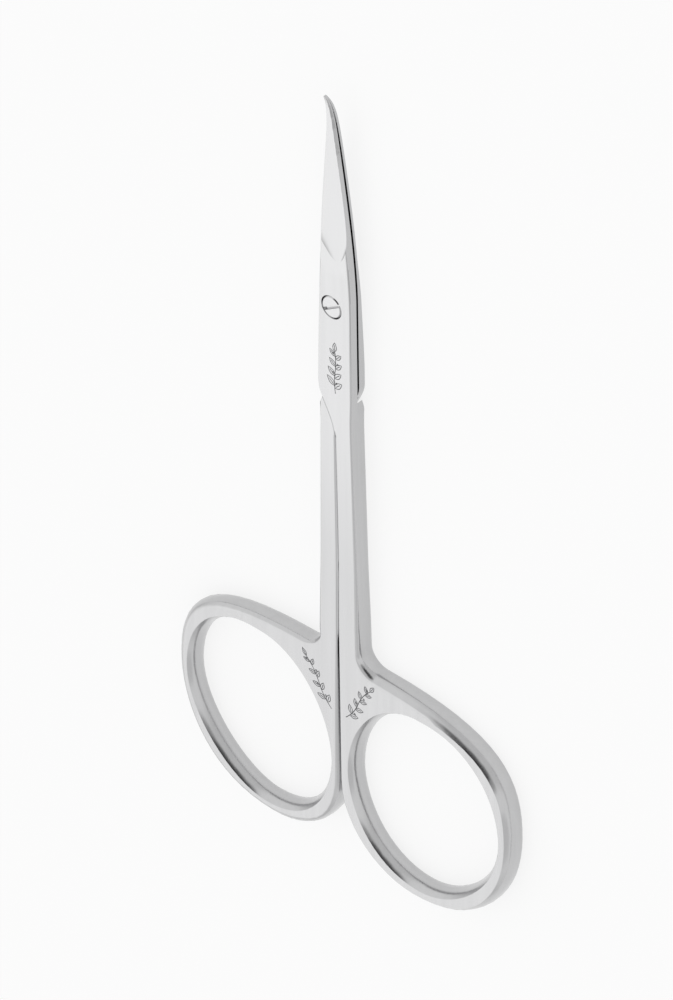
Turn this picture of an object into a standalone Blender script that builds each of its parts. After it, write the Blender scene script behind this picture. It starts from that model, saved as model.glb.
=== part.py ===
"""Cuticle scissors with curved tips: two forged halves that cross at a lap joint on one slotted screw.

Metres, +Z up. The scissors lie closed on their back: +Y runs to the tips, +X to the ring of the front half.
Everything is drawn from the lap's centre line beside the pivot; at the end the whole tool is moved so that
the middle of its underside is the origin. The rear half is the front half turned over about the Y axis, and
both tips curve up to +Z.
"""
import math

import bmesh
import bpy
import numpy as np
from mathutils import Matrix, Vector

# Lengths along the tool, from the pivot
BLADE_REACH = 0.0294
HOLE_DROP = 0.0545
LAP_CORNER_DROP = 0.0108
LAP_FOOT_DROP = 0.0184
NECK_DROP = 0.0170

# Widths, from the centre line of the closed tool
LAP_HALF_WIDTH = 0.00255
NECK_WIDTH = 0.0024
SHANK_FOOT_WIDTH = 0.0032
NOSE_WIDTH = 0.0003
SEAM_GAP = 0.0003

# Finger ring
HOLE_WIDTH = 0.02235
HOLE_HEIGHT = 0.0257
BAND_SEAM = 0.0019
BAND_TOP = 0.00295
BAND_SIDE = 0.0024
BAND_FOOT = 0.0025
FLARE_RADIUS = 0.0024

# Thicknesses
SHANK_THICKNESS = 0.00252
RING_THICKNESS = 0.0029
LAP_GAP = 0.0003
TIP_GAP = 0.0001
BLADE_THICKNESS = 0.00057
TIP_THICKNESS = 0.00014
SWELL_START_DROP = 0.0355
SWELL_END_DROP = 0.0485

# Ground blade: the hollow facet starts along a rounded V across the face, here at its two ends and its corner
FACET_SPINE_REACH = 0.0105
FACET_EDGE_REACH = 0.0096
FACET_CORNER_REACH = 0.0053
FACET_CORNER_WIDTH = 0.0010
FACET_ENTRY = 0.0018
BEVEL_START_REACH = 0.0050

# Curve of the tips: a gentle bow, and a hook at the end
BOW_START_REACH = 0.0018
BOW_RISE = 0.00078
HOOK_RISE = 0.00112

# Edge breaks; the one over the lap's cutting side is a wide soft one
LAP_EDGE = 0.00015
LAP_BREAK_WIDTH = 0.00060
LAP_BREAK_DEPTH = 0.00020
SPINE_EDGE = 0.00080
SPINE_EDGE_START_DROP = 0.0075
SPINE_EDGE_FULL_REACH = 0.0065
SEAM_EDGE = 0.00018
SHANK_EDGE = 0.00030
WEB_EDGE = 0.00040
EDGE_LAND = 0.00010
RING_ROUND_DEPTH = 0.00105
RING_BACK_EDGE = 0.00060

# Pivot screw, set a little to the left of the lap's centre line
SCREW_OFFSET = 0.00025
SCREW_HEAD_RADIUS = 0.00150
SCREW_SHAFT_RADIUS = 0.00100
SCREW_HEAD_DEPTH = 0.00070
SCREW_HEAD_RISE = 0.00004
SCREW_HEAD_WALL = 0.00020
SCREW_END_SINK = 0.00008
SCREW_CLEARANCE = 0.00005
SLOT_WIDTH = 0.00036
SLOT_DEPTH = 0.00035
SLOT_ANGLE = math.radians(31)

# Where the shank's wedge ends below the other half's lap
LAP_FOOT_GAP = 0.00028
WEDGE_WIDTH = 0.00215
WEDGE_NOTCH_SLOPE = 2.6

# Steps of the round edges and of the curves
ROUND_STEPS = 4
NOSE_STEPS = 3
WALL_STEPS = 4
CURVE_STEPS = 12
LONG_STEPS = 16
BLADE_STEPS = 18
SWELL_STEPS = 8
BOW_STEPS = 26
FACET_STEPS = 14
BORE_SIDES = 48
OVERRUN = 0.0020
MERGE = 1e-7
SHARP_ANGLE = math.radians(28)

# Powers that bring a change on late along the blade, and the slopes of the cutting bevel
BOW_POWER = 1.1
HOOK_POWER = 15
CLOSE_POWER = 5
THIN_POWER = 6
STATION_POWER = 1.7
BEVEL_POWER = 4
BEVEL_LAP_SLOPE = 0.15
BEVEL_TIP_SLOPE = 1.5

# Shares of the hole's width and height, measured from its corner at the seam and the top
HOLE_TOP_SHARE = 0.489
HOLE_FOOT_SHARE = 0.462
HOLE_SIDE_SHARE = 0.471
HOLE_SEAM_SHARE = 0.532
HOLE_HANDLE_SHARES = {
    "top_out": 0.316, "side_up": 0.271, "side_down": 0.259, "foot_out": 0.247,
    "foot_in": 0.318, "seam_down": 0.206, "seam_up": 0.277, "top_in": 0.259,
}

# Shares of the ring's outer width and height
RING_SIDE_SHARE = 0.468
RING_FOOT_SHARE = 0.433
RING_SEAM_SHARE = 0.598
RING_HANDLE_SHARES = {
    "top_out": 0.67, "side_up": 0.30, "side_down": 0.261, "foot_out": 0.382,
    "foot_in": 0.235, "seam_down": 0.255,
}
RING_OUTER_SHARE = 0.30
RING_INNER_SHARE = 0.43
RING_TOP_SHARE = 0.40
NOSE_EDGE_SHARE = 0.5
FACET_HANDLE_SHARE = 0.9

# Shares of the blade's reach and of the lap's half width for the handles of the blade's two curved sides
BLADE_LOW_HANDLE_SHARES = (1.04, 0.337)
BLADE_HIGH_HANDLE_SHARES = (0.373, 0.69)
SPINE_EDGE_SHARE = 1.15
LAP_FOOT_HANDLE_SHARES = (0.38, 0.275)

# Values that follow from the sizes above
HALF_SHANK = SHANK_THICKNESS / 2
HALF_RING = RING_THICKNESS / 2
HALF_SEAM = SEAM_GAP / 2
HALF_LAP_GAP = LAP_GAP / 2
HOLE_SEAM_X = HALF_SEAM + BAND_SEAM
HOLE_SIDE_X = HOLE_SEAM_X + HOLE_WIDTH
HOLE_FOOT_Y = -HOLE_DROP - HOLE_HEIGHT
RING_TOP_Y = -HOLE_DROP + BAND_TOP
RING_SIDE_X = HOLE_SIDE_X + BAND_SIDE
RING_FOOT_Y = HOLE_FOOT_Y - BAND_FOOT
RING_WIDTH = RING_SIDE_X - HALF_SEAM
RING_HEIGHT = RING_TOP_Y - RING_FOOT_Y
FLARE_TOP_Y = RING_TOP_Y + FLARE_RADIUS
QUARTER_HANDLE_SHARE = 0.5523


def clear_scene():
    for item in list(bpy.data.objects):
        bpy.data.objects.remove(item, do_unlink=True)


def new_collection(name):
    made = bpy.data.collections.new(name)
    bpy.context.scene.collection.children.link(made)
    return made


def steel(name, colour, roughness):
    made = bpy.data.materials.new(name)
    made.use_nodes = True
    shader = made.node_tree.nodes["Principled BSDF"]
    shader.inputs["Base Color"].default_value = (*colour, 1)
    shader.inputs["Metallic"].default_value = 1
    shader.inputs["Roughness"].default_value = roughness
    return made


def object_of(bm, name, collection, material=None):
    mesh = bpy.data.meshes.new(name)
    bm.to_mesh(mesh)
    bm.free()
    made = bpy.data.objects.new(name, mesh)
    collection.objects.link(made)
    if material:
        mesh.materials.append(material)
    return made


def bezier(start, leave, arrive, end, count):
    """Points along one cubic span, its end left to the next span."""
    t = (np.arange(count) / count)[:, None]
    start, leave, arrive, end = map(np.array, (start, leave, arrive, end))
    return (1 - t) ** 3 * start + 3 * (1 - t) ** 2 * t * leave + 3 * (1 - t) * t**2 * arrive + t**3 * end


def line(start, end, count):
    t = (np.arange(count) / count)[:, None]
    return (1 - t) * np.array(start) + t * np.array(end)


def edged(points, first, last, first_below=None, last_below=None):
    """Each point with its edge break: how far it cuts in, how deep, and how round it is from 0 to 1.

    The break of the lower edge follows in the same way, and is like the upper one unless it is given.
    """
    t = (np.arange(len(points)) / len(points))[:, None]
    above = (1 - t) * np.array(first) + t * np.array(last)
    below = (1 - t) * np.array(first_below or first) + t * np.array(last_below or last)
    return np.hstack([points, above, below])


def lap_foot():
    """The lap's lower end, an S from the seam up to the lap's left wall."""
    reach = LAP_FOOT_DROP - LAP_CORNER_DROP
    seam = (HALF_SEAM, -LAP_FOOT_DROP)
    wall = (-LAP_HALF_WIDTH, -LAP_CORNER_DROP)
    at_seam, at_wall = (share * reach for share in LAP_FOOT_HANDLE_SHARES)
    return seam, (seam[0], seam[1] + at_seam), (wall[0], wall[1] - at_wall), wall


def cutting_curve():
    """The cutting edge in plan, from the lap's wall to the nose of the tip."""
    low = BLADE_LOW_HANDLE_SHARES[0] * LAP_HALF_WIDTH, BLADE_LOW_HANDLE_SHARES[1] * BLADE_REACH
    high = BLADE_HIGH_HANDLE_SHARES[0] * LAP_HALF_WIDTH, BLADE_HIGH_HANDLE_SHARES[1] * BLADE_REACH
    end = NOSE_WIDTH / 2, BLADE_REACH - NOSE_WIDTH / 2
    return np.vstack([bezier((LAP_HALF_WIDTH, 0), low, high, end, BLADE_STEPS), end])


def outer_outline():
    """The forging's outline with its edge breaks, anticlockwise from the nose of the tip."""
    lap = (LAP_EDGE, LAP_EDGE, 0)
    back = (RING_BACK_EDGE, RING_BACK_EDGE, 1)
    spine = (SPINE_EDGE, SPINE_EDGE, 0)
    seam = (SEAM_EDGE, SEAM_EDGE, 1)
    shank = (SHANK_EDGE, SHANK_EDGE, 1)
    heel = (2 * SHANK_EDGE, 2 * SHANK_EDGE, 1)
    ring = (RING_OUTER_SHARE * BAND_SIDE, RING_ROUND_DEPTH, 1)
    ring_top = (RING_TOP_SHARE * BAND_TOP, RING_ROUND_DEPTH, 1)
    nose = NOSE_WIDTH / 2
    lap_break = (LAP_BREAK_WIDTH, LAP_BREAK_DEPTH, 1)
    at_nose = (NOSE_EDGE_SHARE * nose, nose, 0)
    cutting_side = cutting_curve()
    spine_side = cutting_side[::-1] * (-1, 1)
    round_y = cutting_side[-1, 1]
    seam_y = RING_TOP_Y - RING_SEAM_SHARE * RING_HEIGHT
    side_y = RING_TOP_Y - RING_SIDE_SHARE * RING_HEIGHT
    foot_x = HALF_SEAM + RING_FOOT_SHARE * RING_WIDTH
    wide = {name: share * RING_WIDTH for name, share in RING_HANDLE_SHARES.items()}
    tall = {name: share * RING_HEIGHT for name, share in RING_HANDLE_SHARES.items()}
    flare_x = SHANK_FOOT_WIDTH + FLARE_RADIUS
    flare = QUARTER_HANDLE_SHARE * FLARE_RADIUS
    mid_neck_y = (-NECK_DROP - LAP_CORNER_DROP) / 2
    points = np.vstack([
        # Spine, from the nose down to the lap's left wall, and the lap's foot
        edged(bezier((0, BLADE_REACH), (-nose / 2, BLADE_REACH), (-nose, BLADE_REACH - nose / 2),
                     (-nose, round_y), NOSE_STEPS), at_nose, at_nose),
        edged(spine_side[:-1], spine, spine),
        edged(line((-LAP_HALF_WIDTH, 0), (-LAP_HALF_WIDTH, -LAP_CORNER_DROP), WALL_STEPS), spine, lap),
        edged(bezier(*lap_foot()[::-1], CURVE_STEPS), lap, seam),
        # Seam side of the shank and the ring
        edged(line((HALF_SEAM, -LAP_FOOT_DROP), (HALF_SEAM, -SWELL_END_DROP), WALL_STEPS), seam, seam),
        edged(line((HALF_SEAM, -SWELL_END_DROP), (HALF_SEAM, seam_y), WALL_STEPS), seam, seam, seam, back),
        edged(bezier((HALF_SEAM, seam_y), (HALF_SEAM, seam_y - tall["seam_down"]),
                     (foot_x - wide["foot_in"], RING_FOOT_Y), (foot_x, RING_FOOT_Y), CURVE_STEPS),
              seam, ring, back, back),
        edged(bezier((foot_x, RING_FOOT_Y), (foot_x + wide["foot_out"], RING_FOOT_Y),
                     (RING_SIDE_X, side_y - tall["side_down"]), (RING_SIDE_X, side_y), LONG_STEPS),
              ring, ring, back, back),
        edged(bezier((RING_SIDE_X, side_y), (RING_SIDE_X, side_y + tall["side_up"]),
                     (flare_x + wide["top_out"], RING_TOP_Y), (flare_x, RING_TOP_Y), LONG_STEPS),
              ring, ring_top, back, back),
        # Flare, shank wall, neck and lap on the cutting side
        edged(bezier((flare_x, RING_TOP_Y), (flare_x - flare, RING_TOP_Y),
                     (SHANK_FOOT_WIDTH, FLARE_TOP_Y - flare), (SHANK_FOOT_WIDTH, FLARE_TOP_Y), CURVE_STEPS),
              ring_top, heel, back, heel),
        edged(line((SHANK_FOOT_WIDTH, FLARE_TOP_Y), (NECK_WIDTH, -NECK_DROP), WALL_STEPS), heel, shank),
        edged(bezier((NECK_WIDTH, -NECK_DROP), (NECK_WIDTH, mid_neck_y), (LAP_HALF_WIDTH, mid_neck_y),
                     (LAP_HALF_WIDTH, -LAP_CORNER_DROP), WALL_STEPS), shank, shank),
        edged(line((LAP_HALF_WIDTH, -LAP_CORNER_DROP), (LAP_HALF_WIDTH, 0), WALL_STEPS), shank, lap_break),
        edged(cutting_side[:-1], lap_break, at_nose),
        edged(bezier((nose, round_y), (nose, BLADE_REACH - nose / 2), (nose / 2, BLADE_REACH),
                     (0, BLADE_REACH), NOSE_STEPS), at_nose, at_nose),
    ])
    # The spine's edge break starts small on the lap, grows, and near the nose keeps within the blade's width
    plain = np.array(lap * 2)
    on_spine = (points[:, 0] < -nose / 2) & (points[:, 1] > 0)
    widest = -SPINE_EDGE_SHARE * points[on_spine, 0]
    for column in (2, 5):
        points[on_spine, column] = np.minimum(points[on_spine, column], widest)
    heel_of_spine = (points[:, 0] < -LAP_HALF_WIDTH / 2) & (points[:, 1] < SPINE_EDGE_FULL_REACH)
    growth = SPINE_EDGE_FULL_REACH + SPINE_EDGE_START_DROP
    grown = np.clip((points[heel_of_spine, 1] + SPINE_EDGE_START_DROP) / growth, 0, 1)[:, None]
    points[heel_of_spine, 2:] = (1 - grown) * plain + grown * np.array(spine * 2)
    return points


def hole_outline():
    """The finger hole with its edge breaks, clockwise from its side, so that the steel lies on its left."""
    ring = (RING_INNER_SHARE * BAND_SIDE, RING_ROUND_DEPTH, 1)
    ring_seam = (RING_INNER_SHARE * BAND_SEAM, RING_ROUND_DEPTH, 1)
    web = (WEB_EDGE, WEB_EDGE, 1)
    wide = {name: share * HOLE_WIDTH for name, share in HOLE_HANDLE_SHARES.items()}
    tall = {name: share * HOLE_HEIGHT for name, share in HOLE_HANDLE_SHARES.items()}
    top = (HOLE_SEAM_X + HOLE_TOP_SHARE * HOLE_WIDTH, -HOLE_DROP)
    foot = (HOLE_SEAM_X + HOLE_FOOT_SHARE * HOLE_WIDTH, HOLE_FOOT_Y)
    side = (HOLE_SIDE_X, -HOLE_DROP - HOLE_SIDE_SHARE * HOLE_HEIGHT)
    seam = (HOLE_SEAM_X, -HOLE_DROP - HOLE_SEAM_SHARE * HOLE_HEIGHT)
    return np.vstack([
        edged(bezier(side, (side[0], side[1] - tall["side_down"]), (foot[0] + wide["foot_out"], foot[1]), foot,
                     LONG_STEPS), ring, ring),
        edged(bezier(foot, (foot[0] - wide["foot_in"], foot[1]), (seam[0], seam[1] - tall["seam_down"]), seam,
                     LONG_STEPS), ring, ring_seam),
        edged(bezier(seam, (seam[0], seam[1] + tall["seam_up"]), (top[0] - wide["top_in"], top[1]), top,
                     LONG_STEPS), ring_seam, web),
        edged(bezier(top, (top[0] + wide["top_out"], top[1]), (side[0], side[1] + tall["side_up"]), side,
                     LONG_STEPS), web, ring),
    ])


def left_normals(points):
    """Unit normals to the left of the direction of travel round a closed outline."""
    ahead = np.roll(points, -1, axis=0) - points
    ahead /= np.linalg.norm(ahead, axis=1, keepdims=True)
    along = ahead + np.roll(ahead, 1, axis=0)
    along /= np.linalg.norm(along, axis=1, keepdims=True)
    return np.column_stack([-along[:, 1], along[:, 0]])


def edge_loops(outline):
    """Rings of points over the forging's thickness, from the lower face round the edge to the upper one."""
    plan = outline[:, :2]
    inward = left_normals(plan)
    faces = []
    for inset, drop, bulge in (outline[:, 2:5].T[:, :, None], outline[:, 5:8].T[:, :, None]):
        loops = []
        for step in range(ROUND_STEPS + 1):
            share = step / ROUND_STEPS
            turn = share * math.pi / 2
            cut = inset * (bulge * (1 - math.cos(turn)) + (1 - bulge) * share)
            fall = drop * (1 - bulge * math.sin(turn) - (1 - bulge) * share)
            loops.append(np.hstack([plan + inward * cut, HALF_SHANK - fall]))
        faces.append(loops)
    above, below = faces
    return [loop * (1, 1, -1) for loop in below[::-1]] + above


def forging():
    """The half before it is cut: a plate with a finger hole, lofted because its edge break changes on the way."""
    bm = bmesh.new()
    rims = []
    for outline in (outer_outline(), hole_outline()):
        loops = [[bm.verts.new(point) for point in loop] for loop in edge_loops(outline)]
        for lower, upper in zip(loops, loops[1:]):
            for this, after in zip(range(-1, len(lower) - 1), range(len(lower))):
                bm.faces.new((lower[this], lower[after], upper[after], upper[this]))
        rims.append(loops)
    for level in (0, -1):
        edges = []
        for loops in rims:
            rim = loops[level]
            edges += [bm.edges.get((rim[i - 1], rim[i])) for i in range(len(rim))]
        bmesh.ops.triangle_fill(bm, use_beauty=True, edges=edges)
    bmesh.ops.recalc_face_normals(bm, faces=bm.faces)
    return bm


def slot_plan():
    """The driver slot across the screw's head, seen from above."""
    reach = SCREW_HEAD_RADIUS + OVERRUN
    along = np.array((math.cos(SLOT_ANGLE), math.sin(SLOT_ANGLE)))
    across = np.array((-along[1], along[0]))
    return [along * reach * x + across * SLOT_WIDTH / 2 * y for x, y in ((-1, -1), (1, -1), (1, 1), (-1, 1))]


def prism(plan, low, high):
    bm = bmesh.new()
    face = bm.faces.new([bm.verts.new((*point, low)) for point in plan])
    raised = bmesh.ops.extrude_face_region(bm, geom=[face])["geom"]
    verts = [item for item in raised if isinstance(item, bmesh.types.BMVert)]
    bmesh.ops.translate(bm, vec=(0, 0, high - low), verts=verts)
    bmesh.ops.recalc_face_normals(bm, faces=bm.faces)
    return bm


def turned(profile):
    """A solid of revolution about Z from (radius, height) pairs."""
    bm = bmesh.new()
    verts = [bm.verts.new((radius, 0, height)) for radius, height in profile]
    edges = [bm.edges.new(pair) for pair in zip(verts, verts[1:])]
    bmesh.ops.spin(bm, geom=verts + edges, axis=(0, 0, 1), cent=(0, 0, 0), angle=2 * math.pi,
                   steps=BORE_SIDES, use_merge=True)
    bmesh.ops.remove_doubles(bm, verts=bm.verts, dist=MERGE)
    bmesh.ops.recalc_face_normals(bm, faces=bm.faces)
    return bm


def lap_cutter():
    """Room for the other half's lap: all below the contact plane and above the wedge that ends this shank."""
    seam, low_handle, high_handle, wall = (np.array(point) for point in lap_foot())
    foot = bezier(seam, low_handle, high_handle, wall, LONG_STEPS) * (-1, 1)
    ahead = np.gradient(foot, axis=0)
    ahead /= np.linalg.norm(ahead, axis=1, keepdims=True)
    wedge = foot + LAP_FOOT_GAP * np.column_stack([ahead[:, 1], -ahead[:, 0]])
    wedge = wedge[wedge[:, 0] < WEDGE_WIDTH]
    outside = LAP_HALF_WIDTH + OVERRUN
    end = BLADE_REACH + OVERRUN
    fall = (outside - wedge[-1, 0]) * WEDGE_NOTCH_SLOPE
    plan = [(-outside, wedge[0, 1] - OVERRUN), (wedge[0, 0], wedge[0, 1] - OVERRUN), *wedge,
            (outside, wedge[-1, 1] - fall), (outside, end), (-outside, end)]
    return prism(plan, -HALF_SHANK - OVERRUN, HALF_LAP_GAP)


def loft(sections):
    """A solid through closed sections of equal count, capped at both ends."""
    bm = bmesh.new()
    rings = [[bm.verts.new(point) for point in section] for section in sections]
    for ring, after in zip(rings, rings[1:]):
        for back, this in zip(range(-1, len(ring) - 1), range(len(ring))):
            bm.faces.new((ring[back], ring[this], after[this], after[back]))
    bm.faces.new(rings[0])
    bm.faces.new(rings[-1])
    bmesh.ops.recalc_face_normals(bm, faces=bm.faces)
    bmesh.ops.triangulate(bm, faces=bm.faces)
    return bm


def facet_cutter():
    """The hollow facet: it dips in steeply behind the V, runs nearly level and thins out at the tip."""
    spine = np.array((-LAP_HALF_WIDTH, FACET_SPINE_REACH))
    corner = np.array((FACET_CORNER_WIDTH, FACET_CORNER_REACH))
    edge = np.array((LAP_HALF_WIDTH, FACET_EDGE_REACH))
    from_spine = spine + FACET_HANDLE_SHARE * (corner - spine)
    from_edge = edge + FACET_HANDLE_SHARE * (corner - edge)
    v_curve = bezier(spine, from_spine, from_edge, edge, LONG_STEPS)
    starts = [spine - (OVERRUN, 0), *v_curve, edge, edge + (OVERRUN, 0)]
    end = BLADE_REACH + OVERRUN
    top = HALF_SHANK + 2 * OVERRUN
    sections = []
    for x, start in starts:
        reaches = start + (end - start) * np.linspace(0, 1, FACET_STEPS) ** 2
        reaches[0] = start - FACET_ENTRY / 4
        thinned = (BLADE_THICKNESS - TIP_THICKNESS) * (reaches / BLADE_REACH) ** THIN_POWER
        level = HALF_LAP_GAP + BLADE_THICKNESS - thinned
        dip = (HALF_SHANK - HALF_LAP_GAP - BLADE_THICKNESS) * np.exp((start - reaches) / FACET_ENTRY)
        below = [(x, y, z) for y, z in zip(reaches, level + dip)]
        sections.append([*below, (x, end, top), (x, reaches[0], top)])
    return loft(sections)


def bevel_cutter():
    """The cutting bevel: it rises from a narrow land over the edge and leans further back toward the tip."""
    low = HALF_LAP_GAP + EDGE_LAND
    height = HALF_SHANK + OVERRUN - low
    edge = cutting_curve()
    past = edge[-1] + (0, OVERRUN)
    sections = []
    for x, y in (*edge, past):
        grown = max(y - BEVEL_START_REACH, 0) / (BLADE_REACH - BEVEL_START_REACH)
        slope = BEVEL_LAP_SLOPE * math.sqrt(grown) + (BEVEL_TIP_SLOPE - BEVEL_LAP_SLOPE) * grown**BEVEL_POWER
        sections.append([(x + slope * EDGE_LAND, y, low - EDGE_LAND), (x - slope * height, y, low + height),
                         (x + OVERRUN, y, low + height)])
    return loft(sections)


def screw_profile(clearance):
    """Half the section of the screw, or of its seat and bore when there is a clearance."""
    top = HALF_SHANK + OVERRUN if clearance else HALF_SHANK + SCREW_HEAD_RISE
    end = -HALF_SHANK - OVERRUN if clearance else -HALF_SHANK + SCREW_END_SINK
    rim = HALF_SHANK + SCREW_HEAD_RISE - SCREW_HEAD_WALL
    neck = HALF_SHANK + SCREW_HEAD_RISE - SCREW_HEAD_DEPTH
    head, shaft = SCREW_HEAD_RADIUS + clearance, SCREW_SHAFT_RADIUS + clearance
    return [(0, end), (shaft, end), (shaft, neck), (head, rim), (head, top), (0, top)]


def cut(body, cutter):
    """Cuts with an exact Boolean and keeps the result as the body's own mesh."""
    modifier = body.modifiers.new(cutter.name, "BOOLEAN")
    modifier.operation = "DIFFERENCE"
    modifier.solver = "EXACT"
    modifier.object = cutter
    bpy.context.view_layer.update()
    evaluated = body.evaluated_get(bpy.context.evaluated_depsgraph_get())
    result = bpy.data.meshes.new_from_object(evaluated)
    body.modifiers.remove(modifier)
    body.data = result
    result.name = body.name


def helper(bm, name, collection):
    made = object_of(bm, name, collection)
    made.hide_render = True
    made.display_type = "WIRE"
    return made


def swell(y):
    """How much thicker the half is here than at the lap."""
    share = min(max((-y - SWELL_START_DROP) / (SWELL_END_DROP - SWELL_START_DROP), 0), 1)
    return 1 + (HALF_RING / HALF_SHANK - 1) * share**2 * (3 - 2 * share)


def rise(y, lower):
    """How far the blade is bowed up: a bow, a hook near the tip and, for the lower one, what closes the gap."""
    share = max(y - BOW_START_REACH, 0) / (BLADE_REACH - BOW_START_REACH)
    close = (LAP_GAP - TIP_GAP) * share**CLOSE_POWER if lower else 0
    return BOW_RISE * share**BOW_POWER + HOOK_RISE * share**HOOK_POWER + close


def form(body, side):
    """Swells the ring and bows the blade up or, for side -1, down, between closely set stations."""
    bm = bmesh.new()
    bm.from_mesh(body.data)
    left = 1 - np.arange(BOW_STEPS) / BOW_STEPS
    stations = [*(BLADE_REACH - (BLADE_REACH - BOW_START_REACH) * left**STATION_POWER),
                *np.linspace(-SWELL_END_DROP, -SWELL_START_DROP, SWELL_STEPS + 1)]
    for y in stations:
        bmesh.ops.bisect_plane(bm, geom=bm.verts[:] + bm.edges[:] + bm.faces[:], dist=MERGE,
                               plane_co=(0, y, 0), plane_no=(0, 1, 0))
    bmesh.ops.triangulate(bm, faces=bm.faces)
    for vert in bm.verts:
        vert.co.z = vert.co.z * swell(vert.co.y) + side * rise(vert.co.y, side < 0)
    bm.to_mesh(body.data)
    bm.free()


def shade(body):
    body.data.shade_smooth()
    body.data.set_sharp_from_angle(angle=SHARP_ANGLE)


def main():
    clear_scene()
    parts = new_collection("cuticle_scissors")
    cutters = new_collection("cutters")
    satin = steel("satin_steel", (0.62, 0.62, 0.63), 0.32)
    satin_rear = steel("satin_steel_rear", (0.60, 0.60, 0.61), 0.32)
    bright = steel("bright_steel", (0.66, 0.66, 0.67), 0.22)

    lap = helper(lap_cutter(), "lap_cutter", cutters)
    facet = helper(facet_cutter(), "facet_cutter", cutters)
    bevel = helper(bevel_cutter(), "bevel_cutter", cutters)
    seat = helper(turned(screw_profile(SCREW_CLEARANCE)), "screw_seat_cutter", cutters)
    bore_radius = SCREW_SHAFT_RADIUS + SCREW_CLEARANCE
    through = HALF_SHANK + OVERRUN
    bore = helper(turned([(0, -through), (bore_radius, -through), (bore_radius, through), (0, through)]),
                  "bore_cutter", cutters)
    slot_floor = HALF_SHANK + SCREW_HEAD_RISE - SLOT_DEPTH
    slot = helper(prism(slot_plan(), slot_floor, through), "slot_cutter", cutters)

    front = object_of(forging(), "front_half", parts, satin)
    rear = object_of(forging(), "rear_half", parts, satin_rear)
    for body, screw_cut, side in ((front, seat, 1), (rear, bore, -1)):
        for cutter in (lap, facet, bevel):
            cut(body, cutter)
        body.data.transform(Matrix.Translation((side * SCREW_OFFSET, 0, 0)))
        cut(body, screw_cut)
        form(body, side)
        shade(body)
    rear.data.transform(Matrix.Rotation(math.pi, 4, "Y"))

    screw = object_of(turned(screw_profile(0)), "pivot_screw", parts, bright)
    cut(screw, slot)
    shade(screw)

    # The middle of the closed tool's underside becomes the origin, and the pivot is each piece's own origin
    pivot = Vector((-SCREW_OFFSET, -(BLADE_REACH + RING_FOOT_Y) / 2, HALF_RING))
    for item in [*parts.objects, *cutters.objects]:
        item.location = pivot


main()
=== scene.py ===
"""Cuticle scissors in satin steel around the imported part: refined halves, slotted screw, etched sprigs."""

import math

import bmesh
import bpy
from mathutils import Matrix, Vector


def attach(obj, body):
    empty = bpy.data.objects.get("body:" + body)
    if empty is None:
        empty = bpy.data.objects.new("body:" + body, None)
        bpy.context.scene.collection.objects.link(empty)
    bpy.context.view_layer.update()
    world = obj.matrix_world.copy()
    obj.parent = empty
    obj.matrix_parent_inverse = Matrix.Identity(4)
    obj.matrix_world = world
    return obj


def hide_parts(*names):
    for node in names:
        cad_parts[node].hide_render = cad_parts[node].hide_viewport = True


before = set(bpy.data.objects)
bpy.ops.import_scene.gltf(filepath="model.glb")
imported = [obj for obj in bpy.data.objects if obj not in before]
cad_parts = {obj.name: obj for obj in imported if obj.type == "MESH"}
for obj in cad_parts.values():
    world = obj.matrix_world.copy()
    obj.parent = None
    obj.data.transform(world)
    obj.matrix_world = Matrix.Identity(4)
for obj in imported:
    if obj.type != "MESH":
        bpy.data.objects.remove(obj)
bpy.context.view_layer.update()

MM = 0.001
PIVOT = Vector((-0.25 * MM, 26.65 * MM, 1.45 * MM))


def deselect():
    if bpy.context.mode != "OBJECT":
        bpy.ops.object.mode_set(mode="OBJECT")
    bpy.ops.object.select_all(action="DESELECT")


def make_active(piece):
    deselect()
    piece.select_set(True)
    bpy.context.view_layer.objects.active = piece


def apply_modifier(piece, kind, **settings):
    """Adds one modifier with these settings and applies it."""
    make_active(piece)
    modifier = piece.modifiers.new(kind.title(), kind)
    for name, value in settings.items():
        setattr(modifier, name, value)
    bpy.ops.object.modifier_apply(modifier=modifier.name)


def between(value, start, finish):
    """The share of the way from start to finish that value has gone, from 0 to 1."""
    return min(max((value - start) / (finish - start), 0), 1)


# Steel finishes, with a painted sheen on upright faces and a painted shade on the ground edge faces

# Painted shade: the darker colour mixed onto the slanted ground edge faces of lap and blade
GROUND_SHADE_COLOUR = (0.44, 0.44, 0.445)
GRAIN_ACROSS, GRAIN_ALONG = 9000.0, 160.0
STREAK_SCALE = 0.13
STREAK_LIMIT = 0.35
FINE_SHARE = 0.4
GRAIN_DEPTH = 0.01 * MM
# Along Y, where the polish and the painted sheen on upright faces rise over the lap and again where the blade
# begins, each with its two strengths
LAP_POLISH_AND_SHEEN = (-14 * MM, 14 * MM, 0.04, 0.66)
BLADE_POLISH_AND_SHEEN = (31 * MM, 34 * MM, 0.0, 0.42)
# Along Y, where the painted shade on the ground edge faces begins and where it is full
GROUND_SHADE_FROM, GROUND_SHADE_FULL = 17 * MM, 27 * MM
# How upright a face's normal is where it counts as flat and gets the painted sheen, and how far it leans where it
# counts as a ground edge and gets the painted shade
FLAT_FROM, FLAT_FULL = 0.85, 0.97
LEAN_FROM, LEAN_FULL = 0.34, 0.52
WALL_FROM, WALL_FULL = 0.86, 0.97


def new_group(name, inputs, outputs):
    """A shader node group with these sockets: (name, type, default) for inputs and (name, type) for outputs."""
    group = bpy.data.node_groups.new(name, "ShaderNodeTree")
    for label, kind, value in inputs:
        socket = group.interface.new_socket(label, in_out="INPUT", socket_type=kind)
        socket.default_value = value
    for label, kind in outputs:
        group.interface.new_socket(label, in_out="OUTPUT", socket_type=kind)
    start = group.nodes.new("NodeGroupInput")
    end = group.nodes.new("NodeGroupOutput")
    return group, start, end


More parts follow.
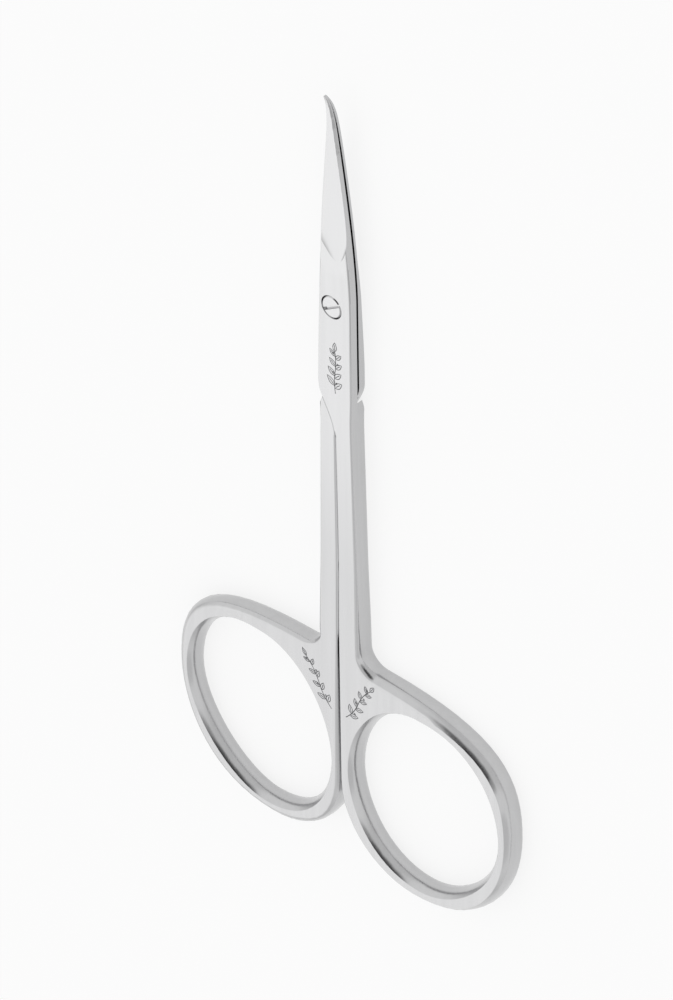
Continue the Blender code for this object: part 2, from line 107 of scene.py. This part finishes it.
def math_node(tree, operation, first, second=None, clamp=False):
    node = tree.nodes.new("ShaderNodeMath")
    node.operation = operation
    node.use_clamp = clamp
    for socket, value in zip(node.inputs, (first, second)):
        if value is None:
            continue
        if isinstance(value, (int, float)):
            socket.default_value = value
        else:
            tree.links.new(value, socket)
    return node.outputs[0]


def times(tree, first, second):
    return math_node(tree, "MULTIPLY", first, second)


def noise(tree, vector, scale, detail=2.0, roughness=0.5):
    node = tree.nodes.new("ShaderNodeTexNoise")
    node.inputs["Scale"].default_value = scale
    node.inputs["Detail"].default_value = detail
    node.inputs["Roughness"].default_value = roughness
    tree.links.new(vector, node.inputs["Vector"])
    return node.outputs["Fac"]


def map_range(tree, value, start, finish, low, high, interpolation="LINEAR"):
    """Goes from low to high as the value goes from start to finish."""
    node = tree.nodes.new("ShaderNodeMapRange")
    node.interpolation_type = interpolation
    for label, number in (("From Min", start), ("From Max", finish), ("To Min", low), ("To Max", high)):
        node.inputs[label].default_value = number
    tree.links.new(value, node.inputs["Value"])
    return node.outputs["Result"]


def smooth_step(tree, value, start, finish, low=0.0, high=1.0):
    return map_range(tree, value, start, finish, low, high, "SMOOTHSTEP")


def ranged(tree, value, low, high):
    """Spreads the middle of a noise's range from low to high."""
    return map_range(tree, value, 0.3, 0.7, low, high)


def make_grain_group():
    """Fine brushed grain along Y: a height for the bump and a mask that varies in streaks."""
    group, start, end = new_group(
        "brushed_grain",
        [("Vector", "NodeSocketVector", (0, 0, 0)), ("Across", "NodeSocketFloat", GRAIN_ACROSS),
         ("Along", "NodeSocketFloat", GRAIN_ALONG)],
        [("Height", "NodeSocketFloat"), ("Streak", "NodeSocketFloat")])
    stretch = group.nodes.new("ShaderNodeCombineXYZ")
    for scale, axis in (("Across", "X"), ("Along", "Y"), ("Across", "Z")):
        group.links.new(start.outputs[scale], stretch.inputs[axis])
    placed = group.nodes.new("ShaderNodeVectorMath")
    placed.operation = "MULTIPLY"
    group.links.new(start.outputs["Vector"], placed.inputs[0])
    group.links.new(stretch.outputs[0], placed.inputs[1])
    fine = noise(group, placed.outputs[0], 1.0, 3.0, 0.6)
    broad_place = group.nodes.new("ShaderNodeVectorMath")
    broad_place.operation = "SCALE"
    broad_place.inputs["Scale"].default_value = STREAK_SCALE
    group.links.new(placed.outputs[0], broad_place.inputs[0])
    broad = noise(group, broad_place.outputs[0], 1.0)
    group.links.new(fine, end.inputs["Height"])
    mixed = math_node(group, "ADD", times(group, fine, FINE_SHARE), times(group, broad, 1 - FINE_SHARE))
    group.links.new(mixed, end.inputs["Streak"])
    return group


def make_polish_and_sheen_group():
    """Polish and a painted sheen rise along Y from the shanks over the lap to the blade, on flat faces only, so
    that upright faces are painted lighter than walls. The second output marks the slanted edge faces of lap and
    blade, which are left as they come from the wheel, and paints shade on them."""
    group, start, end = new_group(
        "polish_and_top_sheen",
        [("Vector", "NodeSocketVector", (0, 0, 0)), ("Normal", "NodeSocketVector", (0, 0, 1))],
        [("Polish_And_Top_Sheen", "NodeSocketFloat"), ("Ground", "NodeSocketFloat")])
    place = group.nodes.new("ShaderNodeSeparateXYZ")
    group.links.new(start.outputs["Vector"], place.inputs[0])
    facing = group.nodes.new("ShaderNodeSeparateXYZ")
    group.links.new(start.outputs["Normal"], facing.inputs[0])
    along = place.outputs["Y"]
    rising = math_node(group, "ADD", smooth_step(group, along, *LAP_POLISH_AND_SHEEN),
                       smooth_step(group, along, *BLADE_POLISH_AND_SHEEN))
    upright = math_node(group, "ABSOLUTE", facing.outputs["Z"])
    # Painted sheen: only upright faces get it, so tops are painted lighter than the walls
    flat = smooth_step(group, upright, FLAT_FROM, FLAT_FULL)
    group.links.new(times(group, rising, flat), end.inputs["Polish_And_Top_Sheen"])

    # Painted shade: faces leaning sideways, between flat and wall, are marked for the darker colour
    lean = math_node(group, "ABSOLUTE", facing.outputs["X"])
    leaning = times(group, smooth_step(group, lean, LEAN_FROM, LEAN_FULL),
                    smooth_step(group, lean, WALL_FROM, WALL_FULL, 1.0, 0.0))
    ground = times(group, leaning, smooth_step(group, along, GROUND_SHADE_FROM, GROUND_SHADE_FULL))
    group.links.new(ground, end.inputs["Ground"])
    return group


GRAIN = make_grain_group()
POLISH_AND_TOP_SHEEN = make_polish_and_sheen_group()


def steel(name, low, high, rough_low, rough_high, bump):
    """Satin steel: its colour and roughness vary in brushed streaks, and it gets brighter toward the blade through
    polish and a painted sheen on upright faces, which leaves the walls darker; the slanted ground edge faces get a
    painted shade.
    """
    made = bpy.data.materials.new(name)
    made.use_nodes = True
    tree = made.node_tree
    shader = tree.nodes["Principled BSDF"]
    shader.inputs["Metallic"].default_value = 1.0
    place = tree.nodes.new("ShaderNodeTexCoord")
    grain = tree.nodes.new("ShaderNodeGroup")
    grain.node_tree = GRAIN
    grain.inputs["Across"].default_value = GRAIN_ACROSS
    grain.inputs["Along"].default_value = GRAIN_ALONG
    tree.links.new(place.outputs["Object"], grain.inputs["Vector"])
    polish_and_sheen = tree.nodes.new("ShaderNodeGroup")
    polish_and_sheen.node_tree = POLISH_AND_TOP_SHEEN
    tree.links.new(place.outputs["Object"], polish_and_sheen.inputs["Vector"])
    tree.links.new(place.outputs["Normal"], polish_and_sheen.inputs["Normal"])
    colour = tree.nodes.new("ShaderNodeMix")
    colour.data_type = "RGBA"
    colour.inputs["A"].default_value = (*low, 1)
    colour.inputs["B"].default_value = (*high, 1)
    streak = ranged(tree, grain.outputs["Streak"], 0, STREAK_LIMIT)
    # Painted sheen on upright faces, with polish and streaks, moves the colour toward the lighter one
    tree.links.new(math_node(tree, "ADD", streak, polish_and_sheen.outputs["Polish_And_Top_Sheen"]), colour.inputs["Factor"])
    # Painted shade: the ground edge faces are mixed toward the darker colour
    ground_shade_mix = tree.nodes.new("ShaderNodeMix")
    ground_shade_mix.data_type = "RGBA"
    ground_shade_mix.inputs["B"].default_value = (*GROUND_SHADE_COLOUR, 1)
    tree.links.new(polish_and_sheen.outputs["Ground"], ground_shade_mix.inputs["Factor"])
    tree.links.new(colour.outputs["Result"], ground_shade_mix.inputs["A"])
    tree.links.new(ground_shade_mix.outputs["Result"], shader.inputs["Base Color"])
    tree.links.new(ranged(tree, grain.outputs["Streak"], rough_low, rough_high), shader.inputs["Roughness"])
    relief = tree.nodes.new("ShaderNodeBump")
    relief.inputs["Strength"].default_value = bump
    relief.inputs["Distance"].default_value = GRAIN_DEPTH
    tree.links.new(grain.outputs["Height"], relief.inputs["Height"])
    tree.links.new(relief.outputs["Normal"], shader.inputs["Normal"])
    return made


# Darker and lighter colour of each steel: streaks move between them, and the painted sheen lifts upright faces to
# the lighter one
SATIN = steel("satin_steel_front", (0.525, 0.525, 0.53), (0.645, 0.645, 0.65), 0.15, 0.21, 0.25)
SATIN_REAR = steel("satin_steel_back", (0.52, 0.52, 0.525), (0.64, 0.64, 0.645), 0.15, 0.21, 0.25)
BRIGHT = steel("turned_steel", (0.56, 0.56, 0.565), (0.66, 0.66, 0.665), 0.14, 0.20, 0.15)
ETCHED = steel("etched_steel", (0.085, 0.085, 0.09), (0.15, 0.15, 0.155), 0.40, 0.55, 0.3)


# The two halves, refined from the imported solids

MERGE = 0.012 * MM
FLAT_ANGLE = math.radians(0.05)
HALF_ANGLE = math.radians(28)
RING_TOP = -22 * MM
RING_CENTRE = Vector((13.5 * MM, -41 * MM))
# The new shoulders fade in below the webs' top, between these two depths
FADE_FROM, FADE_FULL = 25 * MM, 28 * MM

# Ring edges: how far the shoulder reaches in, how far it falls, and the steps of its profile from wall to top face
CREASED_IN = (0, 0.12, 0.30, 0.56, 1.0)
CREASED_DOWN = (1.0, 0.71, 0.47, 0.23, 0)
ROUND_IN = (0, 0.08, 0.29, 0.62, 1.0)
ROUND_DOWN = (1.0, 0.62, 0.29, 0.08, 0)
FRONT_OUTER = (0.80 * MM, 1.6 * MM, CREASED_IN, CREASED_DOWN)
REAR_OUTER = (1.35 * MM, 1.5 * MM, ROUND_IN, ROUND_DOWN)
INNER = (0.75 * MM, 1.6 * MM, CREASED_IN, CREASED_DOWN)
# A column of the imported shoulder: its points, the steps between them, and how wide it is where it counts
COLUMN = 5
STEP_MIN, STEP_MAX = 0.02 * MM, 0.8 * MM
LEAN_MIN, LEAN_REFORMED, LEAN_MAX = 0.3 * MM, 0.55 * MM, 1.4 * MM
TOP_SLACK = 0.004 * MM
# The band is narrow beside the seam, so the two shoulders reach in less there
NARROW_INSET, WIDE_INSET = 0.85 * MM, 1.35 * MM
NARROW_TO, WIDE_FROM = 3 * MM, 6 * MM

# The lap's foot: the gap that is closed, from the lap's left corner on
FOOT_GAP = 0.23 * MM
LAP_CORNER, FOOT_FULL = -2.55 * MM, -2.05 * MM
# The foot's walls: where they are, and their normals' greatest Z, Y and X
FOOT_LEFT, FOOT_RIGHT, FOOT_LOW, FOOT_HIGH = -2.7 * MM, 0.3 * MM, 7 * MM, 17 * MM
FOOT_UPRIGHT, FOOT_DOWNWARD, FOOT_SIDEWARD = 0.05, -0.08, 0.2
# The round over the walls: where it is, how wide it is, and how much of it moves with the wall
RIM_LEVEL, ROUND_LEVEL = 2.4 * MM, 2.5 * MM
ROUND_RIGHT, ROUND_LOW = 0.4 * MM, 8.3 * MM
ROUND_MIN, ROUND_MAX, ROUND_REACH = 0.01 * MM, 0.22 * MM, 0.45 * MM
ROUND_CLOSED = 0.8

# The seam: half its width as a hair, what it gains along the shanks, and what it gains between the webs
HAIR, SHANK_GAIN, WEB_GAIN = 0.004 * MM, 0.012 * MM, 0.134 * MM
SEAM_REACH, SEAM_LOW, SEAM_HIGH = 0.16 * MM, -40 * MM, 9.5 * MM
SHANK_FROM, SHANK_FULL = 11 * MM, 21 * MM
WEB_FROM, WEB_FULL = 24 * MM, 31 * MM

# The blade: where its ground edges start, and from where the joins across it are smooth
BLADE_ROOT, SMOOTH_FROM = 33.5 * MM, 38.5 * MM
SLIVER, SLIVER_EDGE = 0.03 * MM, 0.01 * MM
CREASE_ANGLE = math.radians(9)
ACROSS_SLOPE = 0.6


def shoulder_column(top):
    """The points under one point of the ring's top rim, from it down the shoulder to the wall."""
    column = [top]
    while len(column) < COLUMN:
        low = column[-1]
        below = [edge.other_vert(low) for edge in low.link_edges
                 if STEP_MIN < low.co.z - edge.other_vert(low).co.z < STEP_MAX]
        if not below:
            break
        column.append(min(below, key=lambda other: (other.co.xy - low.co.xy).length))
    return column


def ease_shoulders(piece, outer, inner):
    """Reshapes the ring's upper shoulders by two edge profiles, for the outer edge and for the finger hole's."""
    shape = bmesh.new()
    shape.from_mesh(piece.data)
    shape.verts.ensure_lookup_table()
    level = max(vert.co.z for vert in shape.verts if vert.co.y < RING_TOP)
    moved = {}
    for vert in shape.verts:
        if vert.co.y > RING_TOP or vert.co.z < level - TOP_SLACK:
            continue
        column = shoulder_column(vert)
        if len(column) < COLUMN:
            continue
        foot = column[-1].co.copy()
        lean = vert.co.xy - foot.xy
        if not LEAN_MIN < lean.length < LEAN_MAX:
            continue
        share = between(lean.length, LEAN_MIN, LEAN_REFORMED) * between(-vert.co.y, FADE_FROM, FADE_FULL)
        centre = Vector((math.copysign(RING_CENTRE.x, foot.x), RING_CENTRE.y))
        inset, drop, steps_in, steps_down = outer if lean.dot(foot.xy - centre) < 0 else inner
        widest = NARROW_INSET + (WIDE_INSET - NARROW_INSET) * between(abs(foot.x), NARROW_TO, WIDE_FROM)
        reach = lean.length + share * (min(inset, widest) - lean.length)
        fall = (vert.co.z - foot.z) + share * (drop - vert.co.z + foot.z)
        top = vert.co.z
        for member, part, down in zip(column[::-1], steps_in, steps_down):
            spot = foot.xy + lean.normalized() * reach * part
            moved[member.index] = (spot.x, spot.y, top - fall * down)
    for index, spot in moved.items():
        shape.verts[index].co = spot
    shape.to_mesh(piece.data)
    shape.free()


def close_foot(piece):
    """Brings the lap's S-shaped foot, with the round along its top, up to the other half's wedge. The lap's left
    corner stays where it is."""
    walls = {}
    for face in piece.data.polygons:
        if not (FOOT_LEFT < face.center.x < FOOT_RIGHT and FOOT_LOW < face.center.y < FOOT_HIGH):
            continue
        x, y, z = face.normal
        if abs(z) < FOOT_UPRIGHT and y < FOOT_DOWNWARD and x < FOOT_SIDEWARD:
            for index in face.vertices:
                walls[index] = Vector((x, y, 0)).normalized()
    rim = [(piece.data.vertices[index].co.copy(), out) for index, out in walls.items()
           if piece.data.vertices[index].co.z > RIM_LEVEL]
    moved = {index: out * FOOT_GAP for index, out in walls.items()}
    for vert in piece.data.vertices:
        beside = not ROUND_LOW < vert.co.y < FOOT_HIGH or vert.co.x > ROUND_RIGHT
        if vert.index in walls or vert.co.z < ROUND_LEVEL or beside:
            continue
        spot, out = min(rim, key=lambda known: (known[0].xy - vert.co.xy).length)
        inset = (spot - vert.co).dot(out)
        if (spot.xy - vert.co.xy).length < ROUND_REACH and ROUND_MIN < inset < ROUND_MAX:
            moved[vert.index] = out * (FOOT_GAP + ROUND_CLOSED * inset)
    for index, step in moved.items():
        vert = piece.data.vertices[index]
        vert.co += step * between(vert.co.x, LAP_CORNER, FOOT_FULL)


def close_seam(piece):
    """Brings the seam's walls together from the lap's foot down to the web, and leaves them open below it."""
    for vert in piece.data.vertices:
        if abs(vert.co.x) < SEAM_REACH and SEAM_LOW < vert.co.y < SEAM_HIGH:
            half = (HAIR + SHANK_GAIN * between(-vert.co.y, SHANK_FROM, SHANK_FULL)
                    + WEB_GAIN * between(-vert.co.y, WEB_FROM, WEB_FULL))
            vert.co.x = math.copysign(half, vert.co.x)


def crisp_blade(piece):
    """Cleans the blade's fine slivers."""
    make_active(piece)
    bpy.ops.object.mode_set(mode="EDIT")
    bpy.ops.mesh.select_mode(type="VERT")
    bpy.ops.mesh.select_all(action="DESELECT")
    bpy.ops.object.mode_set(mode="OBJECT")
    for vert in piece.data.vertices:
        vert.select = vert.co.y > BLADE_ROOT
    bpy.ops.object.mode_set(mode="EDIT")
    bpy.ops.mesh.remove_doubles(threshold=SLIVER)
    bpy.ops.mesh.dissolve_degenerate(threshold=SLIVER_EDGE)
    bpy.ops.mesh.select_all(action="DESELECT")
    bpy.ops.object.mode_set(mode="OBJECT")


def sharpen_blade(piece):
    """Keeps every ground edge of the blade crisp, but not the joins across it on the curved part."""
    shape = bmesh.new()
    shape.from_mesh(piece.data)
    for edge in shape.edges:
        one, two = (end.co for end in edge.verts)
        across = min(one.y, two.y) > SMOOTH_FROM and abs(one.y - two.y) < ACROSS_SLOPE * (one - two).length
        if min(one.y, two.y) > BLADE_ROOT and edge.calc_face_angle(0) > CREASE_ANGLE:
            edge.smooth = across
    shape.to_mesh(piece.data)
    shape.free()


def refined(node, name, body, material):
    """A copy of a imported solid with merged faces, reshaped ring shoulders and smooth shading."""
    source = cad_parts[node]
    piece = bpy.data.objects.new(name, source.data.copy())
    bpy.context.scene.collection.objects.link(piece)
    make_active(piece)
    bpy.ops.object.mode_set(mode="EDIT")
    bpy.ops.mesh.select_all(action="SELECT")
    bpy.ops.mesh.remove_doubles(threshold=MERGE)
    bpy.ops.mesh.dissolve_limited(angle_limit=FLAT_ANGLE)
    bpy.ops.mesh.select_all(action="DESELECT")
    bpy.ops.object.mode_set(mode="OBJECT")
    ease_shoulders(piece, FRONT_OUTER if body == "front" else REAR_OUTER, INNER)
    close_seam(piece)
    crisp_blade(piece)
    if body == "front":
        close_foot(piece)
    piece.data.materials.clear()
    piece.data.materials.append(material)
    bpy.ops.object.shade_smooth_by_angle(angle=HALF_ANGLE)
    sharpen_blade(piece)
    apply_modifier(piece, "WEIGHTED_NORMAL", keep_sharp=True, weight=80)
    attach(piece, body)
    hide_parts(node)
    return piece


front = refined("front_half", "front_half_steel", "front", SATIN)
rear = refined("rear_half", "rear_half_steel", "rear", SATIN_REAR)


# The screw

SCREW_END = 0.27 * MM
SCREW_NECK = 2.05 * MM
SCREW_RIM = 2.55 * MM
SCREW_TOP = 2.75 * MM
SHAFT_RADIUS = 1.0 * MM
CONE_GROWTH = 1.45
RIM_SHRINK = 0.89
RIM_ROUND = 0.04 * MM
END_ROUND = 0.12 * MM
SLOT_WIDTH = 0.36 * MM
SLOT_LENGTH = 3.4 * MM
SLOT_CUT = 1.0 * MM
SLOT_DEPTH = 0.35 * MM
SLOT_ANGLE = math.radians(31)
SCREW_ANGLE = math.radians(30)
NEAR = 0.01 * MM


def pick(piece, kind, parts, wanted):
    """Selects the mesh's faces or edges for which wanted holds, and stays in edit mode."""
    make_active(piece)
    bpy.ops.object.mode_set(mode="EDIT")
    bpy.ops.mesh.select_all(action="DESELECT")
    bpy.ops.mesh.select_mode(type=kind)
    bpy.ops.object.mode_set(mode="OBJECT")
    for part in parts:
        part.select = wanted(part)
    bpy.ops.object.mode_set(mode="EDIT")


def round_edges(piece, offset, segments, wanted):
    """Bevels the edges for which wanted(end, other_end) holds."""
    verts = piece.data.vertices
    pick(piece, "EDGE", piece.data.edges, lambda edge: wanted(*(verts[end].co for end in edge.vertices)))
    bpy.ops.mesh.bevel(offset=offset, segments=segments, profile=0.5, clamp_overlap=False)


def turn_screw():
    """Slotted countersunk screw: shaft, cone and head with a rounded rim, then the slot cut across it."""
    x, y = PIVOT.xy
    bpy.ops.mesh.primitive_cylinder_add(vertices=96, radius=SHAFT_RADIUS, depth=SCREW_NECK - SCREW_END,
                                        location=(x, y, (SCREW_NECK + SCREW_END) / 2))
    piece = bpy.context.active_object
    piece.name = "slotted_screw"
    bpy.ops.object.transform_apply(location=True)
    pick(piece, "FACE", piece.data.polygons, lambda face: face.normal.z > 0.9)
    for low, high, growth in ((SCREW_NECK, SCREW_RIM, CONE_GROWTH), (SCREW_RIM, SCREW_TOP, RIM_SHRINK)):
        bpy.ops.mesh.extrude_region_move(TRANSFORM_OT_translate={"value": (0, 0, high - low)})
        bpy.ops.transform.resize(value=(growth, growth, 1), center_override=(x, y, high))
    round_edges(piece, RIM_ROUND, 2, lambda one, two: min(one.z, two.z) > SCREW_TOP - NEAR)
    round_edges(piece, END_ROUND, 3, lambda one, two: max(one.z, two.z) < SCREW_END + NEAR)
    bpy.ops.object.mode_set(mode="OBJECT")
    deselect()
    bpy.ops.mesh.primitive_cube_add(size=1, location=(x, y, SCREW_TOP - SLOT_DEPTH + SLOT_CUT / 2),
                                    rotation=(0, 0, SLOT_ANGLE), scale=(SLOT_LENGTH, SLOT_WIDTH, SLOT_CUT))
    cutter = bpy.context.active_object
    bpy.ops.object.transform_apply(location=True, rotation=True, scale=True)
    apply_modifier(piece, "BOOLEAN", operation="DIFFERENCE", solver="EXACT", object=cutter)
    bpy.data.objects.remove(cutter)
    across = Vector((-math.sin(SLOT_ANGLE), math.cos(SLOT_ANGLE), 0))

    def slot_rim(one, two):
        sides = [(end - PIVOT).dot(across) for end in (one, two)]
        return (min(one.z, two.z) > SCREW_TOP - NEAR and abs(sides[0] - sides[1]) < NEAR
                and abs(abs(sides[0]) - SLOT_WIDTH / 2) < 2 * NEAR)
    round_edges(piece, RIM_ROUND, 2, slot_rim)
    bpy.ops.mesh.select_all(action="SELECT")
    bpy.ops.mesh.normals_make_consistent(inside=False)
    bpy.ops.object.mode_set(mode="OBJECT")
    piece.data.materials.append(BRIGHT)
    bpy.ops.object.shade_smooth_by_angle(angle=SCREW_ANGLE)
    apply_modifier(piece, "WEIGHTED_NORMAL", keep_sharp=True, weight=60)
    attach(piece, "rear")
    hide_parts("pivot_screw")


turn_screw()


# Etched sprigs: plain leaf twigs on the lap and on both webs

LINE_WIDTH = 0.105 * MM
LINE_RISE = 0.006 * MM
LINE_SINK = 0.03 * MM
DRAWN_FROM = 10 * MM
STEM_STEPS, LEAF_STEPS, BERRY_STEPS = 16, 9, 8
# Leaves: their turn from the stem, the power that fills their outline, and their widths as shares of their length
LEAF_TURN = math.radians(48)
LEAF_FULLNESS = 0.85
LEAF_WIDTH, TIP_WIDTH = 0.24, 0.18
TIP_LENGTH, LEAF_TAPER = 0.8, 0.30
# Shares of the stem: where the first pair sits, how far the pairs run, and how far the two sides and berries shift
FIRST_PAIR, PAIR_RUN = 0.16, 0.70
PAIR_SHIFT, BERRY_SHIFT = 0.03, 0.09
BERRY_RADIUS = 0.11 * MM
BERRY_OUT = 0.30 * MM
# The sprigs in millimetres: base, tip, sway, leaf length and pairs of leaves
LAP_SPRIG = ((0.15, 14.6), (0.15, 20.6), 0.12, 1.55, 4)
RIGHT_SPRIG = ((1.15, -33.2), (5.1, -27.1), -0.22, 1.4, 4)
LEFT_SPRIG = ((-1.15, -33.2), (-5.1, -27.1), 0.22, 1.4, 4)


def leaf(base, heading, length, half):
    """A leaf's outline and midrib as lines: (points, closed)."""
    along = Vector((math.cos(heading), math.sin(heading)))
    side = Vector((-along.y, along.x))

    def edge(share, turn):
        return base + along * length * share + side * turn * half * math.sin(math.pi * share ** LEAF_FULLNESS)
    shares = [step / LEAF_STEPS for step in range(LEAF_STEPS + 1)]
    upper = [edge(share, 1) for share in shares]
    lower = [edge(share, -1) for share in shares[1:-1]]
    rib = [base + along * length * (0.14 + 0.58 * share) for share in (0, 0.5, 1)]
    return [(upper + lower[::-1], True), (rib, False)]


def sprig(base, tip, sway, leaf_length, pairs):
    """A swaying stem with pairs of leaves along it, a leaf at its end and berries between."""
    base, tip = Vector(base) * MM, Vector(tip) * MM
    run = tip - base
    side = Vector((-run.y, run.x)).normalized()
    heading = math.atan2(run.y, run.x)

    def on_stem(share):
        return base + run * share + side * sway * MM * math.sin(2 * math.pi * share)
    length = leaf_length * MM
    turns = [step * math.tau / BERRY_STEPS for step in range(BERRY_STEPS)]
    lines = [([on_stem(step / STEM_STEPS) for step in range(STEM_STEPS + 1)], False)]
    for pair in range(pairs):
        share = FIRST_PAIR + PAIR_RUN * pair / (pairs - 1)
        size = length * (1 - LEAF_TAPER * share)
        for turn in (1, -1):
            lines += leaf(on_stem(share + PAIR_SHIFT * turn), heading + turn * LEAF_TURN, size, size * LEAF_WIDTH)
        berry = on_stem(share + BERRY_SHIFT) + side * BERRY_OUT * (1 if pair % 2 else -1)
        lines.append(([berry + Vector((math.cos(turn), math.sin(turn))) * BERRY_RADIUS for turn in turns], True))
    lines += leaf(on_stem(1.0), heading, length * TIP_LENGTH, length * TIP_WIDTH)
    return lines


def etch(name, body, ground, sprigs):
    """Draws the sprigs' lines as fine solid ribbons that lie on one half's top face."""
    shape = bmesh.new()
    for points, closed in [line for one in sprigs for line in sprig(*one)]:
        count = len(points)
        rows = []
        for step, point in enumerate(points):
            before = points[step - 1] if closed or step else point
            after = points[(step + 1) % count] if closed or step < count - 1 else point
            lead = (after - before).normalized()
            side = Vector((-lead.y, lead.x)) * LINE_WIDTH / 2
            level = ground.ray_cast(Vector((point.x, point.y, DRAWN_FROM)), Vector((0, 0, -1)))[1].z
            rows.append([shape.verts.new((place.x, place.y, height)) for place, height in (
                (point + side, level + LINE_RISE), (point - side, level + LINE_RISE),
                (point - side, level - LINE_SINK), (point + side, level - LINE_SINK))])
        for step in range(count if closed else count - 1):
            here, there = rows[step], rows[(step + 1) % count]
            for corner in range(4):
                following = (corner + 1) % 4
                shape.faces.new((here[corner], here[following], there[following], there[corner]))
        if not closed:
            shape.faces.new(rows[0][::-1])
            shape.faces.new(rows[-1])
    bmesh.ops.recalc_face_normals(shape, faces=shape.faces)
    mesh = bpy.data.meshes.new(name)
    shape.to_mesh(mesh)
    shape.free()
    mesh.materials.append(ETCHED)
    piece = bpy.data.objects.new(name, mesh)
    bpy.context.scene.collection.objects.link(piece)
    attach(piece, body)


bpy.context.view_layer.update()
etch("front_sprigs", "front", front, [LAP_SPRIG, RIGHT_SPRIG])
etch("rear_sprig", "rear", rear, [LEFT_SPRIG])


# Table, light and camera

TABLE_SIZE = 8
TABLE_COLOUR = (0.95, 0.95, 0.95, 1)
TABLE_GLOW = 0.8
STUDIO_LEVEL = 0.78
# Wide soft lights: direction, cosines of the soft edge and of the full core, and how much they add
LIGHTS = (((-0.55, -0.48, 0.66), 0.70, 0.93, 0.47), ((0.80, -0.45, 0.40), 0.60, 0.92, 0.22),
          ((-0.72, 0.52, 0.45), 0.68, 0.94, 0.24))
# Dark places over the camera's side of the room, in a row, and how much light each takes away
DARKS = (((0.62, 0.22, 0.74), 0.55), ((0.46, 0.46, 0.755), 0.9), ((0.22, 0.62, 0.755), 0.9),
         ((-0.06, 0.65, 0.755), 0.85))
DARK_EDGE, DARK_CORE = 0.965, 0.992
# Darker corners of the room, low along the horizon
CORNERS = (((0.87, -0.45, 0.05), 0.5), ((0.94, 0.34, 0.05), 0.6), ((-0.77, 0.64, 0.05), 0.7))
CORNER_EDGE, CORNER_CORE = 0.85, 0.97
CORNER_LOW, CORNER_HIGH = 0.02, 0.06
SIDE_SHADE = ((0.64, -0.60, 0.47), 0.93, 0.985, 0.2)
CAMERA_PLACE = (0.358379, 0.417211, 0.390515)
CAMERA_TURN = (-39.0652, 42.134, -1.0215)
CAMERA_LENS = 209.52


def make_table():
    bpy.ops.mesh.primitive_plane_add(size=TABLE_SIZE, location=(0, 0, 0))
    table = bpy.context.active_object
    table.name = "table"
    material = bpy.data.materials.new("white_table")
    material.use_nodes = True
    tree = material.node_tree
    diffuse = tree.nodes["Principled BSDF"]
    diffuse.inputs["Base Color"].default_value = TABLE_COLOUR
    diffuse.inputs["Roughness"].default_value = 0.8
    diffuse.inputs["Specular IOR Level"].default_value = 0.1
    glow = tree.nodes.new("ShaderNodeEmission")
    glow.inputs["Strength"].default_value = 1.0
    rays = tree.nodes.new("ShaderNodeLightPath")
    mirrored = math_node(tree, "ADD", rays.outputs["Is Glossy Ray"], rays.outputs["Is Transmission Ray"])
    seen = math_node(tree, "ADD", rays.outputs["Is Camera Ray"], mirrored, clamp=True)
    mix = tree.nodes.new("ShaderNodeMixShader")
    tree.links.new(times(tree, seen, TABLE_GLOW), mix.inputs[0])
    tree.links.new(diffuse.outputs[0], mix.inputs[1])
    tree.links.new(glow.outputs[0], mix.inputs[2])
    tree.links.new(mix.outputs[0], tree.nodes["Material Output"].inputs["Surface"])
    table.data.materials.append(material)


def lobe(tree, direction, toward, edge, core):
    """1 round one direction of the sky, 0 away from it, with a soft edge between these two cosines."""
    dot = tree.nodes.new("ShaderNodeVectorMath")
    dot.operation = "DOT_PRODUCT"
    dot.inputs[1].default_value = Vector(toward).normalized()
    tree.links.new(direction, dot.inputs[0])
    return smooth_step(tree, dot.outputs["Value"], edge, core)


def make_world():
    """Plain studio: wide light behind and to the left, softer light at the sides, and a row of dark places over
    the camera's side, which draw the creases of the rings.

    Three corners of the room are darker along the table's horizon, and draw the thin lines round the rings.
    """
    world = bpy.data.worlds.new("studio")
    bpy.context.scene.world = world
    world.use_nodes = True
    tree = world.node_tree
    back = tree.nodes["Background"]
    back.inputs["Color"].default_value = (1, 1, 1, 1)
    sky = tree.nodes.new("ShaderNodeTexCoord").outputs["Generated"]

    def dimmed(light, mask, share):
        return times(tree, light, math_node(tree, "SUBTRACT", 1.0, times(tree, mask, share)))
    level = STUDIO_LEVEL
    for toward, edge, core, gain in LIGHTS:
        level = math_node(tree, "ADD", times(tree, lobe(tree, sky, toward, edge, core), gain), level)
    for toward, share in DARKS:
        level = dimmed(level, lobe(tree, sky, toward, DARK_EDGE, DARK_CORE), share)
    height = tree.nodes.new("ShaderNodeSeparateXYZ")
    tree.links.new(sky, height.inputs[0])
    low = smooth_step(tree, height.outputs["Z"], CORNER_LOW, CORNER_HIGH, 1.0, 0.0)
    for toward, share in CORNERS:
        level = dimmed(level, times(tree, lobe(tree, sky, toward, CORNER_EDGE, CORNER_CORE), low), share)
    toward, edge, core, share = SIDE_SHADE
    level = dimmed(level, lobe(tree, sky, toward, edge, core), share)
    tree.links.new(level, back.inputs["Strength"])


def add_camera():
    camera = bpy.data.cameras.new("camera")
    camera.lens = CAMERA_LENS
    camera.sensor_width = 36
    camera.clip_start = 0.01
    camera.clip_end = 20
    holder = bpy.data.objects.new("camera", camera)
    bpy.context.scene.collection.objects.link(holder)
    holder.location = CAMERA_PLACE
    holder.rotation_euler = [math.radians(angle) for angle in CAMERA_TURN]
    bpy.context.scene.camera = holder


deselect()
make_table()
make_world()
add_camera()
bpy.context.scene.view_settings.view_transform = "Standard"
